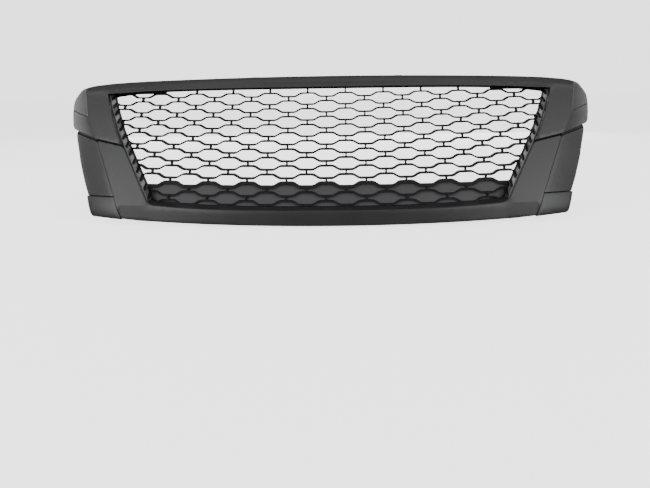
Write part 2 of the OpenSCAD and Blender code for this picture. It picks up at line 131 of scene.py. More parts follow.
# ---- Outlines seen from the front, as counterclockwise lists of (x, z) ----------------------
def flip(points):
    """The same stretch on the other side, still counterclockwise."""
    return [(-x, z) for x, z in reversed(points)]


def bezier(a, b, c, count):
    """Points of a curve from a to c, pulled towards b."""
    ts = [i / count for i in range(count + 1)]
    return [tuple((1 - t) ** 2 * p + 2 * t * (1 - t) * q + t * t * r for p, q, r in zip(a, b, c))
            for t in ts]


SHARPEST = 0.7


def inset(outline, t):
    """The outline moved inwards by t, or outwards for a negative t; less at very sharp corners."""
    p = np.array(outline, float)
    before, after = p - np.roll(p, 1, 0), np.roll(p, -1, 0) - p
    unit = [v / np.linalg.norm(v, axis=1)[:, None] for v in (before, after)]
    n1, n2 = (np.stack([-v[:, 1], v[:, 0]], 1) for v in unit)
    return p + t * (n1 + n2) / np.maximum(1 + np.sum(n1 * n2, 1), SHARPEST)[:, None]


def dense(coarse, outline, step):
    """Points along the outline, with each edge cut as the same edge of the coarse one needs."""
    coarse, outline = np.array(coarse, float), np.array(outline, float)
    points = []
    for i in range(len(coarse)):
        j = (i + 1) % len(coarse)
        cuts = max(1, round(np.linalg.norm(coarse[j] - coarse[i]) / step))
        points += [outline[i] + (outline[j] - outline[i]) * k / cuts for k in range(cuts)]
    return np.array(points)


# The opening, whose lower corners are round between the bottom edge and the side
ROUND_FROM, ROUND_PULL = 352, 368
RIGHT_SIDE = bezier((ROUND_FROM, float(open_bottom(ROUND_FROM))),
                    (ROUND_PULL, float(open_bottom(OPEN_BOTTOM_X))), OPEN_SIDE[0], 8)[:-1]
RIGHT_SIDE += OPEN_SIDE
OPEN_TOP_LINE = [(x, float(open_top(x))) for x in range(-450, 451, 50)]
OPEN_BOTTOM_LINE = [(x, float(open_bottom(x))) for x in range(-315, 316, 35)]
OPENING = OPEN_BOTTOM_LINE + RIGHT_SIDE + OPEN_TOP_LINE[::-1] + flip(RIGHT_SIDE)

# The upper frame. Its top edge is a little flatter than the CAD's.
EDGE_DROP, EDGE_RISE, EDGE_RISE_X = 1, 3.2, 420


def upper_top(x):
    return float(top_edge(x)) - EDGE_DROP + EDGE_RISE * min(1, (x / EDGE_RISE_X) ** 2)


WING_EDGE = bezier(STEP_OUT, (575, 33.4), WING_LOW, 5)
WING_EDGE += bezier((580.5, 70), (584.5, 90.5), (577, 101.5), 6)
WING_EDGE += [(570.5, 109.5), (563, 118), (556, 123)]
UPPER_RIGHT = [STEP_IN, STEP_MID] + WING_EDGE + [WING_TOP, (540, 127.4), (523, 130.4)]
UPPER_INNER = [(x, z) for x, z in OPEN_SIDE if z > STEP_IN[1] + 10]
UPPER_TOP = [(x, upper_top(x)) for x in range(480, -481, -40)]
UPPER = UPPER_RIGHT + UPPER_TOP + flip(UPPER_RIGHT) + flip(UPPER_INNER[::-1]) + OPEN_TOP_LINE
UPPER += UPPER_INNER[::-1]

# The lower frame, whose arms end just under the upper frame's lower edge
ARM_GAP = 1.5
ARM_OUT = (STEP_MID[0], STEP_MID[1] - ARM_GAP)
ARM_IN = (STEP_IN[0] - 2, STEP_IN[1] - ARM_GAP - 1)
LOWER_RIGHT = [SEAM_LOW, SEAM_MID, ARM_OUT]
LOWER_INNER = [(x, z) for x, z in RIGHT_SIDE if z < ARM_IN[1] - 5]
LOWER_BOTTOM = [(x, float(bottom_edge(x))) for x in range(-385, 386, 35)]
LOWER = flip(LOWER_RIGHT) + LOWER_BOTTOM + LOWER_RIGHT + [ARM_IN] + LOWER_INNER[::-1]
LOWER += OPEN_BOTTOM_LINE[::-1] + flip(LOWER_INNER[::-1]) + [(-ARM_IN[0], ARM_IN[1])]

# The side panel and the corner panel under it, with thin seams round them
SIDE_PANEL = [(SEAM_MID[0] + GAP, SEAM_MID[1] + GAP), (PANEL_LOW[0] - 1, PANEL_LOW[1] + GAP)]
SIDE_PANEL += [(524.5, -79), (535.5, -54), (544, -33), PANEL_MID, (557.5, 8)]
SIDE_PANEL += [(STEP_OUT[0] - 2, STEP_OUT[1] - ARM_GAP), (STEP_MID[0] + GAP, STEP_MID[1] - ARM_GAP)]
CORNER_PANEL = [(SEAM_LOW[0] + GAP, float(bottom_edge(SEAM_LOW[0])))]
CORNER_PANEL += bezier((493, -147.2), (500.4, -146.8), (502.4, -139), 6)
CORNER_PANEL += [(PANEL_LOW[0] - 0.5, PANEL_LOW[1] - GAP), (SEAM_MID[0] + GAP, SEAM_MID[1] - GAP)]


# ---- How far each face stands in front of the mesh ------------------------------------------
def ease(t):
    t = np.clip(t, 0, 1)
    return t * t * (3 - 2 * t)


# The opening's sides slant, so a step across them is this much shorter than along x
SIDE_SLANT = 0.9


def from_opening(x, z):
    """About how far a place lies outside the opening."""
    x = np.abs(x)
    beside = SIDE_SLANT * (x - open_side(z))
    return np.maximum(np.maximum(z - open_top(x), beside), open_bottom(x) - z)


LIP_W, LIP_RUN = 1.2, 3.4
TOP_LIP, BOTTOM_LIP = 1.3, -0.65
TOP_LIP_Z, BOTTOM_LIP_Z, LIP_FADE = 106, -108, 6
LIP_OFFSETS = (LIP_W, LIP_W + LIP_RUN / 2, LIP_W + LIP_RUN)


def lip(x, z):
    """The slanted edge beside the opening, which faces up along both the top and the bottom bar."""
    height = TOP_LIP * ease((z - TOP_LIP_Z) / LIP_FADE)
    height += BOTTOM_LIP * ease((BOTTOM_LIP_Z - z) / LIP_FADE)
    return height * np.clip((LIP_W + LIP_RUN - from_opening(x, z)) / LIP_RUN, 0, 1)


def step_z(x):
    """The height of the step line between the upper frame and the pieces below it."""
    return np.interp(np.abs(x), *zip(STEP_IN, STEP_MID, STEP_OUT))


CHANNEL_RUN, CHANNEL_DEPTH = 0.8, 8
ARM_CHANNEL, PANEL_CHANNEL = 4.2, 5.6


def channel(x, z, width):
    """A channel under the step line, which the upper frame overhangs."""
    return CHANNEL_DEPTH * ease((z - step_z(x) + width + CHANNEL_RUN) / CHANNEL_RUN)


# The crease between the arm and the wing, which runs on below the wing
CREASE_X, CREASE_Z = zip((STEP_MID[0] - 11.6, STEP_MID[1] - 20), STEP_MID, FACET_IN, WING_TOP)
CREASE_SLANT = 0.9
FACET_RISE = (FACET_OUT[1] - FACET_IN[1]) / (FACET_OUT[0] - FACET_IN[0])
FACET_ROOM, FACET_RUN, FACET_DEPTH, FACET_SLANT = 0.6, 1.8, 1.4, 1.05


def past_crease(x, z):
    return CREASE_SLANT * (np.abs(x) - np.interp(z, CREASE_Z, CREASE_X))


def above_facet_line(x, z):
    return z - FACET_IN[1] - FACET_RISE * (np.abs(x) - FACET_IN[0])


# The upper frame swells towards its top bar and rolls back along its top edge
UPPER_FRONT = 36
SWELL, SWELL_Z, SWELL_RUN = 3, 108, 29
ROLL, ROLL_W, ROLL_RUN = 5.5, 11, 13
WING_FALL, WING_CURVE = 0.36, 0.0028


def upper_d(x, z):
    x, z = np.asarray(x, float), np.asarray(z, float)
    d = UPPER_FRONT + SWELL * ease((z - SWELL_Z) / SWELL_RUN)
    d -= ROLL * ease((z - top_edge(x) + ROLL_W) / ROLL_RUN)
    s = np.maximum(past_crease(x, z), 0)
    facet = ease((past_crease(x, z) - FACET_ROOM) / FACET_RUN)
    facet *= ease((above_facet_line(x, z) - FACET_ROOM) / FACET_RUN)
    return d - WING_FALL * s - WING_CURVE * s * s - FACET_DEPTH * facet + lip(x, z)


# The lower frame's bar slopes back under a fold line, which is level across the arms' feet
LOWER_FRONT, LOWER_SLOPE, FOLD_Z = 30, 0.52, -120.5


def lower_d(x, z):
    x, z = np.asarray(x, float), np.asarray(z, float)
    fold = np.where(np.abs(x) < OPEN_BOTTOM_X, open_bottom(x) - LIP_W, FOLD_Z)
    below = np.maximum(fold - z, 0)
    return LOWER_FRONT - LOWER_SLOPE * below + lip(x, z) - channel(x, z, ARM_CHANNEL)


# The panels fall back from the seam beside the lower arm
SEAM_X, SEAM_Z = zip(SEAM_LOW, SEAM_MID, STEP_MID)
SEAM_SLANT = 0.89
SIDE_FRONT, SIDE_FALL, SIDE_CURVE = 28.5, 0.18, 0.0016
CORNER_FRONT, CORNER_FALL, CORNER_CURVE = 27.6, 0.1, 0.0012
TUCK_Z, TUCK_CURVE = -104, 0.0066


def past_seam(x, z):
    return SEAM_SLANT * (np.abs(x) - np.interp(z, SEAM_Z, SEAM_X))


def side_d(x, z):
    x, z = np.asarray(x, float), np.asarray(z, float)
    s = past_seam(x, z)
    return SIDE_FRONT - SIDE_FALL * s - SIDE_CURVE * s * s - channel(x, z, PANEL_CHANNEL)


def corner_d(x, z):
    """The corner panel's front, which also curves back towards its foot."""
    x, z = np.asarray(x, float), np.asarray(z, float)
    s = past_seam(x, z)
    tuck = TUCK_CURVE * np.maximum(TUCK_Z - z, 0) ** 2
    return CORNER_FRONT - CORNER_FALL * s - CORNER_CURVE * s * s - tuck


def level(depth):
    """A front at the same depth all over."""
    return lambda x, z: np.full(np.shape(x), float(depth))


# ---- Mesh building --------------------------------------------------------------------------
def inside(points, loops):
    """Which points lie inside the loops by the even-odd rule, so that inner loops are holes."""
    px, py = points[:, 0][:, None], points[:, 1][:, None]
    count = np.zeros(len(points), int)
    for loop in loops:
        a, b = np.asarray(loop, float), np.roll(np.asarray(loop, float), -1, 0)
        spans = (a[:, 1] > py) != (b[:, 1] > py)
        with np.errstate(divide="ignore", invalid="ignore"):
            cross = a[:, 0] + (py - a[:, 1]) * (b[:, 0] - a[:, 0]) / (b[:, 1] - a[:, 1])
        count += np.sum(spans & (px < cross), 1)
    return count % 2 == 1


def clear_of(points, loops, room):
    """Which points are at least that far from every vertex of the loops."""
    near = np.concatenate([np.asarray(loop, float) for loop in loops])
    return np.array([np.min(np.sum((near - p) ** 2, 1)) > room * room for p in points], bool)


GRID_ROWS, GRID_ROOM = 0.87, 0.62


def fill(loops, step, lines=()):
    """Triangles between the loops: (points, triangles), the loops' own points first, in order.
    Inner points stand on a grid, and the lines become edges."""
    loops = [np.asarray(loop, float) for loop in loops]
    points = list(np.concatenate(loops))
    edges, start = [], 0
    for loop in loops:
        edges += [(start + i, start + (i + 1) % len(loop)) for i in range(len(loop))]
        start += len(loop)
    fixed = list(loops)
    for line in lines:
        line = np.asarray(line, float)
        keep = inside(line, loops) & clear_of(line, loops, 1.0)
        last = None
        for p, k in zip(line, keep):
            if k:
                points.append(p)
                if last is not None:
                    edges.append((last, len(points) - 1))
            last = len(points) - 1 if k else None
        if keep.any():
            fixed.append(line[keep])
    if step:
        low, high = loops[0].min(0), loops[0].max(0)
        heights = np.arange(low[1], high[1], step * GRID_ROWS)
        grid = np.array([(x + (step / 2) * (j % 2), z) for j, z in enumerate(heights)
                         for x in np.arange(low[0], high[0], step)])
        grid = grid[inside(grid, loops)]
        points += list(grid[clear_of(grid, fixed, step * GRID_ROOM)])
    out = delaunay_2d_cdt([Vector(p) for p in points], edges, [], 0, 1e-4)
    back = {new: old for new, olds in enumerate(out[3]) for old in olds[:1]}
    for i, v in enumerate(out[0]):
        if i not in back:
            back[i] = len(points)
            points.append(tuple(v))
    tris = [tuple(back[i] for i in f) for f in out[2]]
    return np.array(points), between(tris, [len(loop) for loop in loops])


def between(tris, sizes):
    """The triangles inside the first loop and outside the others, spread from the loops' edges."""
    owner = {(t[k - 1], t[k]): i for i, t in enumerate(tris) for k in range(3)}
    walls, found, start = set(), set(), 0
    for n, size in enumerate(sizes):
        for i in range(size):
            a, b = start + i, start + (i + 1) % size
            walls |= {(a, b), (b, a)}
            found.add(owner[(b, a) if n else (a, b)])
        start += size
    todo = list(found)
    while todo:
        t = tris[todo.pop()]
        for k in range(3):
            edge = (t[k], t[k - 1])
            if edge not in owner or edge in walls or owner[edge] in found:
                continue
            found.add(owner[edge])
            todo.append(owner[edge])
    return [tris[i] for i in sorted(found)]


class Build:
    """Collects vertices and faces of one piece."""

    def __init__(self):
        self.verts, self.faces = [], []

    def add(self, places):
        start = len(self.verts)
        self.verts += [tuple(p) for p in places]
        return list(range(start, len(self.verts)))

    def strip(self, a, b):
        """Quads between two closed rings of the same length."""
        n = len(a)
        self.faces += [(a[i], a[(i + 1) % n], b[(i + 1) % n], b[i]) for i in range(n)]

    def shell(self, rings):
        for a, b in zip(rings, rings[1:]):
            self.strip(a, b)

    def made(self, name, material, sharp=32):
        mesh = bpy.data.meshes.new(name)
        mesh.from_pydata(self.verts, [], self.faces)
        bm = bmesh.new()
        bm.from_mesh(mesh)
        loose = [v for v in bm.verts if not v.link_faces]
        bmesh.ops.delete(bm, geom=loose, context="VERTS")
        bmesh.ops.recalc_face_normals(bm, faces=bm.faces)
        bm.to_mesh(mesh)
        bm.free()
        mesh.shade_smooth()
        mesh.set_sharp_from_angle(angle=math.radians(sharp))
        mesh.materials.append(material)
        piece = bpy.data.objects.new(name, mesh)
        bpy.context.scene.collection.objects.link(piece)
        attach(piece, "root")
        return piece


def faced(build, loops, d, step, lines=()):
    """Fills between the loops and stands the points d in front; returns the loops' vertices."""
    points, tris = fill(loops, step, lines)
    depths = d(points[:, 0], points[:, 1])
    ids = build.add(on_face(p[0], p[1], h) for p, h in zip(points, depths))
    build.faces += [tuple(ids[i] for i in t) for t in tris]
    rings, start = [], 0
    for loop in loops:
        rings.append(ids[start:start + len(loop)])
        start += len(loop)
    return rings


def ring(build, loop, depths):
    return build.add(on_face(p[0], p[1], h) for p, h in zip(loop, depths))


EDGE_STEP, EDGE_TURNS = 7, 3
FRAME_EDGE_R, PANEL_EDGE_R = 1.6, 1.2
FRAME_GRID, PANEL_GRID, BLANK_GRID = 6, 8, 14


def rounded_rings(build, outline, d, radius):
    """Rings from the rim's back, up its wall and round its front edge; also the last loop."""
    wall = dense(outline, outline, EDGE_STEP)
    rings = [ring(build, wall, np.zeros(len(wall)))]
    loop = wall
    for i in range(EDGE_TURNS + 1):
        turn = math.pi / 2 * i / EDGE_TURNS
        loop = dense(outline, inset(outline, radius * (1 - math.cos(turn))), EDGE_STEP)
        if i < EDGE_TURNS:
            depths = d(loop[:, 0], loop[:, 1]) - radius * (1 - math.sin(turn))
            rings.append(ring(build, loop, depths))
    return rings, loop


def tray(build, outline, d, radius, step, lines=()):
    """A hollow moulding, open at the back, with a rounded front edge."""
    rings, loop = rounded_rings(build, outline, d, radius)
    rings += faced(build, [loop], d, step, lines)
    build.shell(rings)
    inner = dense(outline, inset(outline, WALL), EDGE_STEP)
    rim = ring(build, inner, np.zeros(len(inner)))
    build.strip(rings[0], rim)
    well = faced(build, [inner], lambda x, z: d(x, z) - WALL, 2 * step)
    build.strip(rim, well[0])


# ---- Materials ------------------------------------------------------------------------------
def plastic(name, colour, roughness, grain=0.12, grain_scale=900, mottle=0.1):
    """Moulded plastic with a fine spark-eroded grain and slight unevenness of tone and sheen."""
    mat = bpy.data.materials.new(name)
    mat.use_nodes = True
    nodes, links = mat.node_tree.nodes, mat.node_tree.links
    shader = nodes["Principled BSDF"]
    where = nodes.new("ShaderNodeTexCoord")
    cloud = nodes.new("ShaderNodeTexNoise")
    cloud.inputs["Scale"].default_value = 14
    cloud.inputs["Detail"].default_value = 4
    links.new(where.outputs["Object"], cloud.inputs["Vector"])
    tone = nodes.new("ShaderNodeMapRange")
    tone.inputs["To Min"].default_value = 1 - mottle
    tone.inputs["To Max"].default_value = 1 + mottle
    links.new(cloud.outputs["Fac"], tone.inputs["Value"])
    mix = nodes.new("ShaderNodeVectorMath")
    mix.operation = "SCALE"
    mix.inputs[0].default_value = colour
    links.new(tone.outputs["Result"], mix.inputs["Scale"])
    links.new(mix.outputs["Vector"], shader.inputs["Base Color"])
    sheen = nodes.new("ShaderNodeMapRange")
    sheen.inputs["To Min"].default_value = roughness - 0.05
    sheen.inputs["To Max"].default_value = roughness + 0.05
    links.new(cloud.outputs["Fac"], sheen.inputs["Value"])
    links.new(sheen.outputs["Result"], shader.inputs["Roughness"])
    fine = nodes.new("ShaderNodeTexNoise")
    fine.inputs["Scale"].default_value = grain_scale
    fine.inputs["Detail"].default_value = 3
    links.new(where.outputs["Object"], fine.inputs["Vector"])
    bump = nodes.new("ShaderNodeBump")
    bump.inputs["Strength"].default_value = grain
    bump.inputs["Distance"].default_value = 0.0004
    links.new(fine.outputs["Fac"], bump.inputs["Height"])
    links.new(bump.outputs["Normal"], shader.inputs["Normal"])
    return mat


def metal(name, colour, roughness):
    mat = plastic(name, colour, roughness, grain=0.06, grain_scale=1500, mottle=0.12)
    mat.node_tree.nodes["Principled BSDF"].inputs["Metallic"].default_value = 1
    return mat


FRAME_MAT = plastic("frame_plastic", (0.023, 0.023, 0.024), 0.37)
PANEL_MAT = plastic("panel_plastic", (0.023, 0.023, 0.025), 0.38)
MESH_MAT = plastic("mesh_plastic", (0.006, 0.006, 0.0065), 0.6)
MESH_MAT.node_tree.nodes["Principled BSDF"].inputs["Specular IOR Level"].default_value = 0.22
# The liner's colour is several times lighter than the frame's dark plastic. This is painted light: it
# makes up for the shade the liner wall lies in, behind the frame and between the fins.
LINER_PAINTED_LIGHT_MAT = plastic("liner_plastic_painted_light", (0.11, 0.11, 0.116), 0.5)
BLANK_MAT = plastic("blank_plastic", (0.046, 0.046, 0.05), 0.6)
BACKING_MAT = plastic("backing_plastic", (0.02, 0.02, 0.021), 0.6)
ZINC_MAT = metal("zinc_steel", (0.6, 0.6, 0.62), 0.35)
SPRING_MAT = metal("spring_steel", (0.36, 0.34, 0.3), 0.4)
BRASS_MAT = metal("insert_brass", (0.66, 0.48, 0.2), 0.35)
FOAM_MAT = plastic("seal_foam", (0.012, 0.012, 0.012), 0.95, grain=0.6, grain_scale=700)
RUBBER_MAT = plastic("pad_rubber", (0.016, 0.016, 0.016), 0.75)


# ---- Frames and panels ----------------------------------------------------------------------
def side_line(offset, low, high):
    """A line beside the opening's edge, on the right."""
    return [(float(open_side(z)) + offset / SIDE_SLANT, z) for z in np.arange(low, high, 6)]


def mirrored(lines):
    """The lines and their mirror images."""
    return [line for l in lines for line in (l, [(-x, z) for x, z in l])]


def lip_lines(low, high):
    """Lines along the lip beside the opening's sides."""
    lines = []
    for offset in LIP_OFFSETS:
        lines += mirrored([side_line(offset, low, high)])
    return lines


def along(a, b, step=5):
    """Points on a straight line."""
    count = max(1, int(math.dist(a, b) / step))
    return [tuple(p + (q - p) * i / count for p, q in zip(a, b)) for i in range(count + 1)]


def channel_lines(first, last, width):
    """Lines along both edges of the channel under the step line."""
    xs = np.arange(first, last, 4)
    return mirrored([[(x, float(step_z(x)) - width - t) for x in xs] for t in (0, CHANNEL_RUN)])


def facet_lines():
    """Lines along the edges of the wing's facet, inside the crease and above the facet's line."""
    lines = []
    for offset in (FACET_ROOM, FACET_ROOM + FACET_RUN / 2, FACET_ROOM + FACET_RUN):
        beside = [(x + offset / CREASE_SLANT, z) for x, z in along(FACET_IN, WING_TOP, 4)]
        lines.append([(x, z) for x, z in beside if z > FACET_IN[1] + offset + 1])
        below = [(x, z) for x, z in along(FACET_IN, FACET_OUT, 4) if x > FACET_IN[0] + offset + 1]
        lines.append([(x, z + offset * FACET_SLANT) for x, z in below])
    return lines


def box_faces(build, near, far):
    """A closed solid between two rings of four places."""
    a, b = build.add(near), build.add(far)
    build.strip(a, b)
    build.faces += [tuple(a), tuple(b[::-1])]


TAB_W, TAB_DEPTH, TAB_ROOT = 44, 34, 6
TAB_CORNER, TAB_CHAMFER = 3, 0.9
TAB_RIB_H, TAB_RIB_END, TAB_RIB_SLOPE = 5, 8, 6
HOLE_R, HOLE_POINTS = 3.3, 24


def slab(build, loops, low, high):
    """A flat plate between two heights, from loops of (x, y): the outline first, then its holes."""
    points, tris = fill(loops, 0)
    tops = build.add(place(x, y, high) for x, y in points)
    bases = build.add(place(x, y, low) for x, y in points)
    build.faces += [tuple(tops[i] for i in t) for t in tris]
    build.faces += [tuple(bases[i] for i in reversed(t)) for t in tris]
    start = 0
    for loop in loops:
        ids = range(start, start + len(loop))
        build.strip([tops[i] for i in ids], [bases[i] for i in ids])
        start += len(loop)


def fixing_tab(build, x, z, up):
    """A tab behind an edge with its fixing hole and a tapered rib along each side."""
    y = float(surf(x, z))
    x0, x1, y0, y1 = x - TAB_W / 2, x + TAB_W / 2, y - TAB_ROOT, y + TAB_DEPTH
    outline = [(x0, y0), (x1, y0), (x1, y1 - TAB_CORNER), (x1 - TAB_CHAMFER, y1 - TAB_CHAMFER)]
    outline += [(x1 - TAB_CORNER, y1), (x0 + TAB_CORNER, y1)]
    outline += [(x0 + TAB_CHAMFER, y1 - TAB_CHAMFER), (x0, y1 - TAB_CORNER)]
    turns = [2 * math.pi * i / HOLE_POINTS for i in range(HOLE_POINTS)]
    hole = [(x + HOLE_R * math.cos(a), y + HOLE_BACK + HOLE_R * math.sin(a)) for a in turns]
    slab(build, [outline, hole], z, z + TAB_T)
    root = z + TAB_T * 0.5
    tip = root + up * (TAB_RIB_H + TAB_T * 0.5)
    end = y1 - TAB_RIB_END
    profile = [(y0, root), (y0, tip), (end - TAB_RIB_SLOPE, tip), (end, root)]
    for left in (x0, x1 - WALL):
        box_faces(build, *([place(px, py, pz) for py, pz in profile] for px in (left, left + WALL)))


def upper_frame():
    lines = lip_lines(8, TOP_LIP_Z)
    for offset in LIP_OFFSETS:
        lines.append([(x, float(open_top(x)) + offset) for x in range(-484, 485, 8)])
    crease = along(STEP_MID, FACET_IN) + along(FACET_IN, WING_TOP)[1:]
    build = Build()
    lines += mirrored([crease] + facet_lines())
    tray(build, UPPER, upper_d, FRAME_EDGE_R, FRAME_GRID, lines)
    for x in (-OUTER_TAB_X, -TOP_TAB_X, TOP_TAB_X, OUTER_TAB_X):
        fixing_tab(build, x, float(top_edge(x)) - TAB_T, -1)
    piece = build.made("upper_frame_shell", FRAME_MAT, sharp=24)
    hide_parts("upper_frame")


def lower_frame():
    lines = lip_lines(-106, -6)
    for offset in LIP_OFFSETS:
        lines.append([(x, float(open_bottom(x)) - offset) for x in range(-348, 349, 8)])
    lines += mirrored([[(x, FOLD_Z) for x in range(370, 440, 5)]])
    lines += channel_lines(443, 504, ARM_CHANNEL)
    build = Build()
    tray(build, LOWER, lower_d, FRAME_EDGE_R, FRAME_GRID, lines)
    for x in (-BOTTOM_TAB_X, BOTTOM_TAB_X):
        fixing_tab(build, x, float(bottom_edge(x)), 1)
    piece = build.made("lower_frame_shell", FRAME_MAT, sharp=20)
    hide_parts("lower_frame")


def panel(side, part, outline, d, sign, lines=()):
    build = Build()
    outline = outline if sign > 0 else flip(outline)
    tray(build, outline, d, PANEL_EDGE_R, PANEL_GRID, lines)
    piece = build.made(f"{side}_{part}_shell", PANEL_MAT, sharp=24)
    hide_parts(f"{side}_{part}")


# ---- Mesh -----------------------------------------------------------------------------------
# The blank stands behind the rows below this one; the ribbon along its top is thicker
BLANK_ROW = 11
LOW_RIBBON_T, HEAVY = 2.6, 1.1
# How far the ribbons curve up at a place beside the middle, and the top row's share of it
RISE, RISE_X, TOP_RISE, RISE_GROWTH = 3, 400, 0.6, 0.07


def row_rise(x, k):
    """How far the ribbons curve up towards the sides, less for the top rows."""
    return RISE * min(1, TOP_RISE + RISE_GROWTH * k) * (x / RISE_X) ** 2


def row_z(k):
    """The middle of a row of cells, counted from the top."""
    return ((ROWS - 2) / 2 - k) * ROW_PITCH


def first_strut(k):
    """Every second row is moved by half a cell."""
    return 0 if k % 2 else -CELL_W / 2


def wave(s):
    """How far a ribbon has left its crest, from 0 to 1, at a distance from a strut."""
    return (1 - math.cos(math.pi * min(1, max(0, (s - WAVE_FLAT) / WAVE_RUN)))) / 2


def ribbon_half(s, thick):
    """Half a ribbon's height: its thickness stays the same where it slants."""
    t = min(1, max(0, (s - WAVE_FLAT) / WAVE_RUN))
    slope = WAVE_H * math.pi / (2 * WAVE_RUN) * math.sin(math.pi * t)
    return thick / 2 * math.hypot(1, slope)


CORNER_CUT, CORNER_ROUND = 0.35, 1.2


def cell(k, x0):
    """The outline of one opening of the mesh, counterclockwise. The top row is open upwards."""
    xs = [STRUT_T / 2 + CORNER_ROUND, 7, WAVE_FLAT]
    xs += [WAVE_FLAT + WAVE_RUN * i / 6 for i in range(1, 7)]
    xs += [CELL_W / 2] + [CELL_W - s for s in reversed(xs)]
    near = [min(s, CELL_W - s) for s in xs]
    thick = LOW_RIBBON_T if k > BLANK_ROW else RIBBON_T
    half = [ROW_PITCH / 2 - WAVE_H / 2 - ribbon_half(s, thick) + WAVE_H * wave(s) for s in near]
    low_cut = HEAVY if k == BLANK_ROW else 0
    high_cut = HEAVY if k == BLANK_ROW + 1 else 0
    low = [(s, -h + low_cut) for s, h in zip(xs, half)]
    high = [(s, h - high_cut if k else ROW_PITCH) for s, h in zip(xs, half)][::-1]
    corner = [(STRUT_T / 2, CORNER_ROUND), (STRUT_T / 2 + CORNER_CUT, CORNER_CUT)]
    right = [(CELL_W - x, low[-1][1] + z) for x, z in reversed(corner)]
    right += [(CELL_W - x, high[0][1] - z) for x, z in corner]
    left = [(x, high[-1][1] - z) for x, z in reversed(corner)]
    left += [(x, low[0][1] + z) for x, z in corner]
    outline = low + right + high + left
    return [(x0 + x, row_z(k) + z + row_rise(x0 + x, k)) for x, z in outline]


def clipped(outline, region):
    """The part of an outline inside a convex counterclockwise region."""
    for a, b in zip(region, np.roll(region, -1, 0)):
        n = np.array([-(b - a)[1], (b - a)[0]])
        heights = [float(np.dot(n, np.subtract(p, a))) for p in outline]
        if min(heights) >= 0:
            continue
        kept = []
        for i, p in enumerate(outline):
            q, hp, hq = outline[(i + 1) % len(outline)], heights[i], heights[(i + 1) % len(outline)]
            if hp >= 0:
                kept.append(p)
            if (hp >= 0) != (hq >= 0):
                t = hp / (hp - hq)
                kept.append((p[0] + (q[0] - p[0]) * t, p[1] + (q[1] - p[1]) * t))
        outline = kept
        if len(outline) < 3:
            return []
    return outline


def tidied(outline, least=0.5):
    """The outline without points that nearly meet."""
    kept = []
    for p in outline:
        if not kept or math.dist(p, kept[-1]) > least:
            kept.append(p)
    while len(kept) > 2 and math.dist(kept[0], kept[-1]) <= least:
        kept.pop()
    return kept


def area(outline):
    p = np.array(outline)
    q = np.roll(p, -1, 0)
    return float(np.sum(p[:, 0] * q[:, 1] - q[:, 0] * p[:, 1])) / 2


TOP_BORDER, CORNER_DROP, CORNER_DROP_X = 3.6, 5, 410
SIDE_BORDER, LEAST_CELL = 2.5, 60


def border_z(x):
    """The height of the border above the cells: lower towards the opening's top corners."""
    past = max(0, abs(x) - CORNER_DROP_X) / (OPEN_TOP_X - CORNER_DROP_X)
    return float(open_top(x)) - TOP_BORDER - CORNER_DROP * past


# Places past the opening on every side: a height, and a count of cells
BEYOND, CELL_REACH = 300, 7
# Where the top row is open: the middle, and one low lens at each side
TOP_ROW_OPEN = [(-448, -388), (-367, 367), (388, 448)]
LENS_X, LENS_TOP = 380, 109.1


def top_row_regions():
    regions = []
    for left, right in TOP_ROW_OPEN:
        top = LENS_TOP if max(abs(left), abs(right)) > LENS_X else BEYOND
        regions.append(np.array([(left, -BEYOND), (right, -BEYOND), (right, top), (left, top)]))
    return regions


def cells():
    """The outlines of all cells, cut to the opening, without slivers."""
    region = inset(OPENING, SIDE_BORDER)
    below_top = np.array([(-3 * BEYOND, -BEYOND), (3 * BEYOND, -BEYOND)]
                         + [(x, border_z(x)) for x in range(500, -501, -25)])
    found = []
    for k in range(ROWS):
        for c in range(-CELL_REACH, CELL_REACH):
            whole = clipped(cell(k, first_strut(k) + c * CELL_W), region)
            whole = clipped(whole, below_top) if whole else whole
            parts = [whole] if k else [clipped(whole, r) for r in top_row_regions() if whole]
            outlines = [tidied(part) for part in parts if part]
            found += [outline for outline in outlines if len(outline) > 3 and area(outline) > LEAST_CELL]
    return found


MESH_EDGE_R, HALFWAY_ROUND = 0.65, 0.29


def mesh_insert():
    build = Build()
    border = inset(OPENING, -FLANGE_W)
    outer = dense(border, border, 12)
    holes = [np.array(h) for h in cells()]
    front = faced(build, [outer] + [inset(h, -MESH_EDGE_R) for h in holes], level(0), 0)
    back = faced(build, [outer] + holes, level(-RIBBON_DEPTH), 0)
    build.strip(front[0], back[0])
    halfway = MESH_EDGE_R * HALFWAY_ROUND
    for hole, top, base in zip(holes, front[1:], back[1:]):
        rings = [top, ring(build, inset(hole, -halfway), np.full(len(hole), -halfway))]
        rings += [ring(build, hole, np.full(len(hole), -MESH_EDGE_R)), base]
        build.shell(rings)
    piece = build.made("mesh_lattice", MESH_MAT, sharp=50)
    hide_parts("mesh_insert")


# ---- Opening liners and blank ---------------------------------------------------------------
LINER_T, LINER_BACK, LINER_FRONT = 2, 0.2, 26
LINER_LOW, LINER_HIGH = -112, 108


def liner_wall(side, sign):
    build = Build()
    sections = []
    for z in [LINER_LOW] + list(np.arange(-106, LINER_HIGH, 6.0)) + [LINER_HIGH]:
        x = float(open_side(z)) - GAP / 2
        profile = [(x - LINER_T, LINER_BACK), (x - LINER_T, LINER_FRONT - 1)]
        profile += [(x - LINER_T + 0.8, LINER_FRONT), (x, LINER_FRONT), (x, LINER_BACK)]
        sections.append(build.add(on_face(sign * px, z, d) for px, d in profile))
    build.shell(sections)
    build.faces += [tuple(sections[0]), tuple(sections[-1][::-1])]
    # The wall takes the lightened liner colour, which is painted light.
    return build.made(f"{side}_liner_wall", LINER_PAINTED_LIGHT_MAT, sharp=30)


FIN_T, FIN_REACH, FIN_DROP, FIN_BACK = 4, 6, 8.5, 0.3
FIN_LOW, FIN_HIGH = -104, 106
FIN_EDGE, FIN_ROUND = 0.4, 0.5
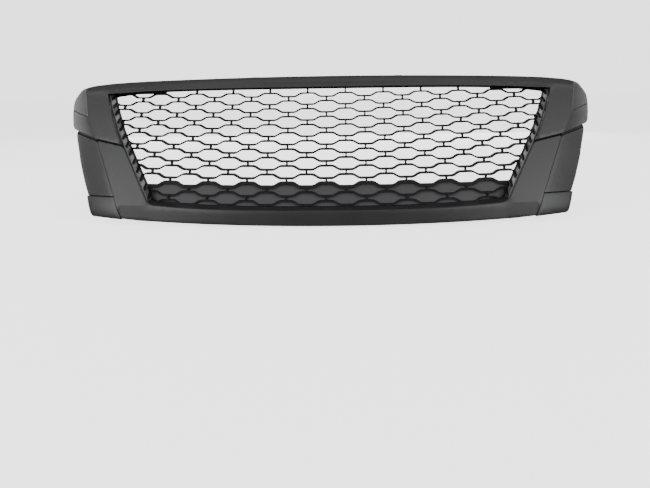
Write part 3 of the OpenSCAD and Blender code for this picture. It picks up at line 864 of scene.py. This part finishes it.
# How far a fin reaches from the wall at each depth, from the back to its tip inside the wall
FIN_PROFILE = ((FIN_BACK, FIN_REACH), (4, FIN_REACH), (LINER_FRONT - 3, 3.5), (LINER_FRONT - 1.5, -0.6))


def fin_slice(z, dz, pull):
    """One level of a fin, with its open edges pulled in to round them."""
    points = []
    for d, reach in FIN_PROFILE:
        at = z + dz - FIN_DROP * d / LINER_FRONT
        wall = float(open_side(at)) - LINER_T
        points.append((wall - reach + (pull if reach > 0 else 0), at, d - pull if d > 4 else d))
    points.append((float(open_side(z + dz)) - LINER_T + 0.6, z + dz, FIN_BACK))
    return points


def liner_fins(side, sign):
    """One fin from each ribbon's end along the wall, sloping down to the front."""
    build = Build()
    half, edge = FIN_T / 2, FIN_EDGE
    for k in range(ROWS - 1):
        z = row_z(k) - ROW_PITCH / 2
        z += row_rise(float(open_side(z)), k)
        if z < FIN_LOW or z > FIN_HIGH:
            continue
        slices = [fin_slice(z, -half, FIN_ROUND), fin_slice(z, edge - half, 0)]
        slices += [fin_slice(z, half - edge, 0), fin_slice(z, half, FIN_ROUND)]
        rings = [build.add(on_face(sign * px, pz, d) for px, pz, d in points) for points in slices]
        build.shell(rings)
        build.faces += [tuple(rings[0]), tuple(rings[-1][::-1])]
    return build.made(f"{side}_liner_fins", MESH_MAT, sharp=30)


def liner(side, sign):
    for piece in (liner_wall(side, sign), liner_fins(side, sign)):
        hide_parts(f"{side}_opening_liner")


def ribbon_z(x, k):
    """The middle height of the ribbon under a row of cells."""
    s = abs(x - first_strut(k)) % CELL_W
    middle = row_z(k) - ROW_PITCH / 2 + row_rise(x, k)
    return middle + WAVE_H / 2 - WAVE_H * wave(min(s, CELL_W - s))


BLANK_FRONT, BLANK_T = 6, 8.5
BLANK_REACH, BLANK_FOOT = 6, 11
BLANK_CORNER_Z, BLANK_LOW = -108, -112


def lower_blank():
    """The plate behind the lowest rows, whose top follows a ribbon."""
    side = float(open_side(row_z(BLANK_ROW) - ROW_PITCH / 2)) + BLANK_REACH
    top = [(x, ribbon_z(x, BLANK_ROW) + 0.6) for x in np.arange(-side, side + 1, 4.0)]
    bottom = [(x, float(open_bottom(x)) - BLANK_FOOT) for x in range(-330, 331, 22)]
    corner_x = float(open_side(BLANK_CORNER_Z)) + BLANK_REACH
    outline = bottom + [(corner_x, BLANK_LOW)] + top[::-1] + [(-corner_x, BLANK_LOW)]
    build = Build()
    loop = np.array(tidied(outline, 1.0))
    front = faced(build, [loop], level(-BLANK_FRONT), BLANK_GRID)[0]
    back = faced(build, [loop], level(-BLANK_FRONT - BLANK_T), BLANK_GRID)[0]
    build.strip(front, back)
    piece = build.made("blank_panel", BLANK_MAT)
    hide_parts("lower_blank")


# ---- CAD pieces that stay --------------------------------------------------------------------
SOFT_EDGE = 0.0003


def dress(nodes, material):
    """Gives CAD pieces their material and slightly soft edges."""
    for name in nodes:
        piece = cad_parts[name]
        piece.data.materials.clear()
        piece.data.materials.append(material)
        soft = piece.modifiers.new("edges", "BEVEL")
        soft.width = SOFT_EDGE
        soft.segments = 2
        soft.limit_method = "ANGLE"
        soft.angle_limit = math.radians(40)


upper_frame()
lower_frame()
for side, sign in (("left", -1), ("right", 1)):
    panel(side, "side_panel", SIDE_PANEL, side_d, sign, channel_lines(508, 562, PANEL_CHANNEL))
    panel(side, "corner_panel", CORNER_PANEL, corner_d, sign)
    liner(side, sign)
mesh_insert()
lower_blank()
dress(["left_backing_plate", "right_backing_plate"], BACKING_MAT)
dress(["mesh_screws", "blank_screws", "left_plate_screws", "right_plate_screws"], ZINC_MAT)
dress(["top_clip_nuts", "bottom_clip_nuts"], SPRING_MAT)
dress(["side_inserts"], BRASS_MAT)
dress(["top_seal", "bottom_seal"], FOAM_MAT)
dress(["bump_pads"], RUBBER_MAT)


# ---- Stage, light and camera -----------------------------------------------------------------
def stage():
    """A plain pale floor just under the object."""
    mesh = bpy.data.meshes.new("floor")
    size, z = 40, cad_box[0][2] - 0.001
    corners = [(-size, -size, z), (size, -size, z), (size, size, z), (-size, size, z)]
    mesh.from_pydata(corners, [], [(0, 1, 2, 3)])
    floor = bpy.data.objects.new("floor", mesh)
    bpy.context.scene.collection.objects.link(floor)
    mat = bpy.data.materials.new("floor")
    mat.use_nodes = True
    shader = mat.node_tree.nodes["Principled BSDF"]
    shader.inputs["Base Color"].default_value = (0.8, 0.8, 0.8, 1)
    shader.inputs["Roughness"].default_value = 0.9
    shader.inputs["Specular IOR Level"].default_value = 0
    shader.inputs["Emission Color"].default_value = (1, 1, 1, 1)
    shader.inputs["Emission Strength"].default_value = 2.1
    floor.visible_diffuse = floor.visible_glossy = False
    mesh.materials.append(mat)


def sky(seen, light):
    """A plain white surrounding that lights the object only a little."""
    world = bpy.data.worlds.new("studio")
    world.use_nodes = True
    nodes, links = world.node_tree.nodes, world.node_tree.links
    path = nodes.new("ShaderNodeLightPath")
    level = nodes.new("ShaderNodeMix")
    level.inputs["A"].default_value = light
    level.inputs["B"].default_value = seen
    links.new(path.outputs["Is Camera Ray"], level.inputs["Factor"])
    links.new(level.outputs["Result"], nodes["Background"].inputs["Strength"])
    nodes["Background"].inputs["Color"].default_value = (1, 1, 1, 1)
    bpy.context.scene.world = world


MIDDLE = place(0, 0, -20)


def lamp(name, offset, size, power):
    """A soft box that stands off from the object's middle and faces it, in metres and watts."""
    data = bpy.data.lights.new(name, "AREA")
    data.shape = "RECTANGLE"
    data.size, data.size_y = size
    data.energy = power
    light = bpy.data.objects.new(name, data)
    light.location = MIDDLE + Vector(offset)
    light.rotation_euler = (MIDDLE - light.location).to_track_quat("-Z", "Y").to_euler()
    bpy.context.scene.collection.objects.link(light)


AZIMUTH, ELEVATION, ROLL_ANGLE = (math.radians(a) for a in (1.93, 4.691, 0.852))
DISTANCE = 1.3


def camera():
    ground = math.cos(ELEVATION)
    out = Vector((math.sin(AZIMUTH) * ground, -math.cos(AZIMUTH) * ground, math.sin(ELEVATION)))
    right = (-out).cross(Vector((0, 0, 1))).normalized()
    up = right.cross(-out)
    turn = Matrix((right, up, out)).transposed() @ Matrix.Rotation(-ROLL_ANGLE, 3, "Z")
    data = bpy.data.cameras.new("camera")
    data.sensor_width = 36
    data.lens = 33.61
    data.shift_x, data.shift_y = -0.002, -0.156
    cam = bpy.data.objects.new("camera", data)
    cam.matrix_world = Matrix.Translation(place(0, 0, 0) + DISTANCE * out) @ turn.to_4x4()
    bpy.context.scene.collection.objects.link(cam)
    bpy.context.scene.camera = cam


stage()
sky(2.4, 0.3)
lamp("key", (-1.6, -1.7, 0.55), (1.5, 2.2), 42)
lamp("fill", (1.65, -1.65, 0.55), (1.5, 2.2), 38)
lamp("left_rim", (-2.2, 0.4, 0.4), (0.6, 1.6), 13)
lamp("right_rim", (2.2, 0.4, 0.4), (0.6, 1.6), 9)
lamp("back", (0, 2.5, 0.45), (3.0, 1.2), 26)
lamp("top", (0, -0.8, 2.2), (3, 1.5), 11)
camera()
